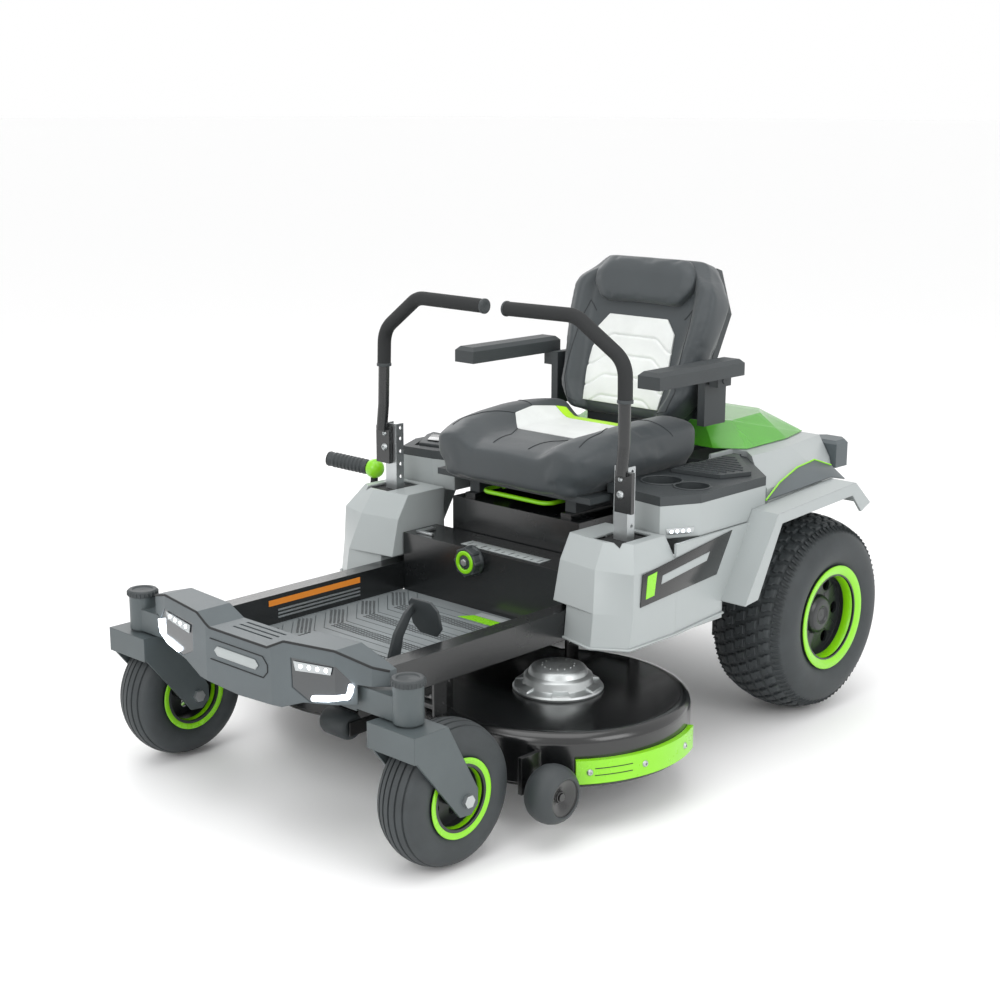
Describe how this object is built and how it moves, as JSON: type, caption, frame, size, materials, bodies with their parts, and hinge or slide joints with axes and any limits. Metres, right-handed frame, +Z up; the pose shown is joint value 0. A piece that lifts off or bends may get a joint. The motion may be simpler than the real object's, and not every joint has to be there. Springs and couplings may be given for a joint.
{
  "type": "zero turn mower",
  "caption": "Battery riding zero-turn mower with twin steering levers, swivelling front casters, a floating twin-blade deck and a sliding seat.",
  "frame": {"origin": "on the ground under the centre of the whole machine's box", "axes": "+Z up, front of the machine towards -Y, operator's left towards +X"},
  "size_m": [1.273, 1.635, 1.0273],
  "materials": {
    "painted_frame": "gloss powder coat",
    "painted_fork": "satin powder coat",
    "body_panel": "satin moulded",
    "dark_trim": "fine moulded grain",
    "bumper": "satin moulded",
    "lime": "gloss",
    "tyre": "rubber",
    "rim": "satin",
    "steel": "brushed zinc",
    "cast": "satin cast",
    "deck_paint": "gloss",
    "vinyl": "grained vinyl",
    "lamp": "clear lens",
    "green_hood": "tinted translucent",
    "red_knob": "gloss",
    "foam": "foam grip",
    "battery_case": "moulded",
    "pan": "textured paint"
  },
  "bodies": {
    "chassis": {"frame_rail_left": "painted_frame", "frame_rail_right": "painted_frame", "front_axle_beam": "painted_fork", "caster_caps": "dark_trim", "rear_subframe": "painted_frame", "floor_pan": "pan", "front_bumper": "bumper", "headlights": "lamp", "battery_box": "painted_frame", "side_panel_left": "body_panel", "side_panel_right": "body_panel", "console_left": "body_panel", "console_right": "body_panel", "console_tray_left": "dark_trim", "console_tray_right": "dark_trim", "rear_body": "body_panel", "rear_guards": "bumper", "drive_motor_left": "cast", "drive_motor_right": "cast", "battery_packs": "battery_case", "hitch_plate": "painted_frame", "seat_base": "painted_frame"},
    "caster_left": {"caster_fork_left": "painted_fork", "caster_axle_left": "steel"},
    "caster_right": {"caster_fork_right": "painted_fork", "caster_axle_right": "steel"},
    "front_wheel_left": {"front_rim_left": "rim", "front_tyre_left": "tyre"},
    "front_wheel_right": {"front_rim_right": "rim", "front_tyre_right": "tyre"},
    "rear_wheel_left": {"rear_rim_left": "rim", "rear_tyre_left": "tyre"},
    "rear_wheel_right": {"rear_rim_right": "rim", "rear_tyre_right": "tyre"},
    "deck": {"deck_shell": "deck_paint", "deck_motor_covers": "cast", "deck_bumper": "lime"},
    "blade_left": {"blade_left": "steel"},
    "blade_right": {"blade_right": "steel"},
    "anti_scalp_wheel": {"anti_scalp_wheel": "dark_trim"},
    "front_roller": {"front_roller": "dark_trim"},
    "discharge_deflector": {"discharge_deflector": "dark_trim"},
    "lift_front": {"lift_shaft_front": "painted_frame", "lift_pedal": "dark_trim"},
    "lift_rear": {"lift_shaft_rear": "painted_frame"},
    "lift_handle": {"lift_handle": "foam"},
    "height_dial": {"height_dial": "dark_trim"},
    "seat": {"seat_shell": "dark_trim", "seat_cushion": "vinyl", "seat_back_cushion": "vinyl"},
    "seat_adjust_bar": {"seat_adjust_bar": "lime"},
    "armrest_left": {"armrest_left": "dark_trim"},
    "armrest_right": {"armrest_right": "dark_trim"},
    "lever_left": {"lever_bracket_left": "steel"},
    "lever_right": {"lever_bracket_right": "steel"},
    "lever_arm_left": {"lever_arm_left": "foam"},
    "lever_arm_right": {"lever_arm_right": "foam"},
    "battery_hood": {"battery_hood": "green_hood"},
    "tray_lid": {"tray_lid": "dark_trim"},
    "pto_knob": {"pto_knob": "red_knob"}
  },
  "joints": [
    {"name": "caster_swivel_left", "type": "hinge", "parent": "chassis", "child": "caster_left", "pos_m": [0.468, -0.7515, 0.3], "axis": [0, 0, 1], "continuous": true},
    {"name": "front_wheel_spin_left", "type": "hinge", "parent": "caster_left", "child": "front_wheel_left", "pos_m": [0.468, -0.6655, 0.1397], "axis": [1, 0, 0], "continuous": true},
    {"name": "rear_wheel_spin_left", "type": "hinge", "parent": "chassis", "child": "rear_wheel_left", "pos_m": [0.4495, 0.5125, 0.2286], "axis": [1, 0, 0], "continuous": true},
    {"name": "lever_pitch_left", "type": "hinge", "parent": "chassis", "child": "lever_left", "pos_m": [0.409, -0.0795, 0.48], "axis": [1, 0, 0], "range_deg": [-14, 14], "stiffness_Nm_per_rad": 40},
    {"name": "lever_swing_left", "type": "hinge", "parent": "lever_left", "child": "lever_arm_left", "pos_m": [0.417, -0.0915, 0.6], "axis": [0, 1, 0], "range_deg": [0, 25]},
    {"name": "armrest_flip_left", "type": "hinge", "parent": "seat", "child": "armrest_left", "pos_m": [0.314, 0.3725, 0.77], "axis": [-1, 0, 0], "range_deg": [0, 80]},
    {"name": "caster_swivel_right", "type": "hinge", "parent": "chassis", "child": "caster_right", "pos_m": [-0.34, -0.7515, 0.3], "axis": [0, 0, 1], "continuous": true},
    {"name": "front_wheel_spin_right", "type": "hinge", "parent": "caster_right", "child": "front_wheel_right", "pos_m": [-0.34, -0.6655, 0.1397], "axis": [1, 0, 0], "continuous": true},
    {"name": "rear_wheel_spin_right", "type": "hinge", "parent": "chassis", "child": "rear_wheel_right", "pos_m": [-0.3215, 0.5125, 0.2286], "axis": [1, 0, 0], "continuous": true},
    {"name": "lever_pitch_right", "type": "hinge", "parent": "chassis", "child": "lever_right", "pos_m": [-0.281, -0.0795, 0.48], "axis": [1, 0, 0], "range_deg": [-14, 14], "stiffness_Nm_per_rad": 40},
    {"name": "lever_swing_right", "type": "hinge", "parent": "lever_right", "child": "lever_arm_right", "pos_m": [-0.289, -0.0915, 0.6], "axis": [0, -1, 0], "range_deg": [0, 25]},
    {"name": "armrest_flip_right", "type": "hinge", "parent": "seat", "child": "armrest_right", "pos_m": [-0.186, 0.3725, 0.77], "axis": [-1, 0, 0], "range_deg": [0, 80]},
    {"name": "deck_height", "type": "slide", "parent": "chassis", "child": "deck", "axis": [0, 0, 1], "range_m": [-0.015, 0.035]},
    {"name": "lift_front_turn", "type": "hinge", "parent": "chassis", "child": "lift_front", "pos_m": [0.064, -0.51715, 0.225], "axis": [1, 0, 0], "range_deg": [-8.69, 19.6]},
    {"name": "lift_rear_turn", "type": "hinge", "parent": "chassis", "child": "lift_rear", "pos_m": [0.064, 0.08785, 0.225], "axis": [-1, 0, 0], "range_deg": [-8.69, 19.6]},
    {"name": "blade_spin_left", "type": "hinge", "parent": "deck", "child": "blade_left", "pos_m": [0.349, -0.21215, 0.108], "axis": [0, 0, 1], "continuous": true},
    {"name": "blade_spin_right", "type": "hinge", "parent": "deck", "child": "blade_right", "pos_m": [-0.171, -0.21215, 0.108], "axis": [0, 0, 1], "continuous": true},
    {"name": "anti_scalp_spin", "type": "hinge", "parent": "deck", "child": "anti_scalp_wheel", "pos_m": [0.566, -0.47315, 0.104], "axis": [1, 0, 0], "continuous": true},
    {"name": "front_roller_spin", "type": "hinge", "parent": "deck", "child": "front_roller", "pos_m": [0.024, -0.52715, 0.12], "axis": [1, 0, 0], "continuous": true},
    {"name": "deflector_flip", "type": "hinge", "parent": "deck", "child": "discharge_deflector", "pos_m": [-0.463, -0.21215, 0.18], "axis": [0, 1, 0], "range_deg": [0, 70], "stiffness_Nm_per_rad": 1, "springref_deg": -17.19},
    {"name": "lift_handle_tilt", "type": "hinge", "parent": "chassis", "child": "lift_handle", "pos_m": [-0.391, -0.0635, 0.28], "axis": [1, 0, 0], "range_deg": [-6, 20]},
    {"name": "height_dial_turn", "type": "hinge", "parent": "chassis", "child": "height_dial", "pos_m": [0.044, -0.1525, 0.4], "axis": [0, 1, 0], "range_deg": [-150, 150]},
    {"name": "seat_slide", "type": "slide", "parent": "chassis", "child": "seat", "axis": [0, -1, 0], "range_m": [0, 0.1]},
    {"name": "seat_release", "type": "hinge", "parent": "seat", "child": "seat_adjust_bar", "pos_m": [0.064, 0.0325, 0.527], "axis": [-1, 0, 0], "range_deg": [0, 6], "stiffness_Nm_per_rad": 2, "springref_deg": -5.73},
    {"name": "hood_open", "type": "hinge", "parent": "chassis", "child": "battery_hood", "pos_m": [0.064, 0.7425, 0.604], "axis": [-1, 0, 0], "range_deg": [0, 65]},
    {"name": "tray_lid_open", "type": "hinge", "parent": "chassis", "child": "tray_lid", "pos_m": [0.332, 0.4205, 0.5905], "axis": [-1, 0, 0], "range_deg": [0, 38]},
    {"name": "pto_pull", "type": "slide", "parent": "chassis", "child": "pto_knob", "axis": [0, 0, 1], "range_m": [0, 0.01]}
  ],
  "couplings": [
    {"joint": "lift_front_turn", "follows": "deck_height", "rad_per_m": 9.5238},
    {"joint": "lift_rear_turn", "follows": "deck_height", "rad_per_m": 9.5238}
  ]
}
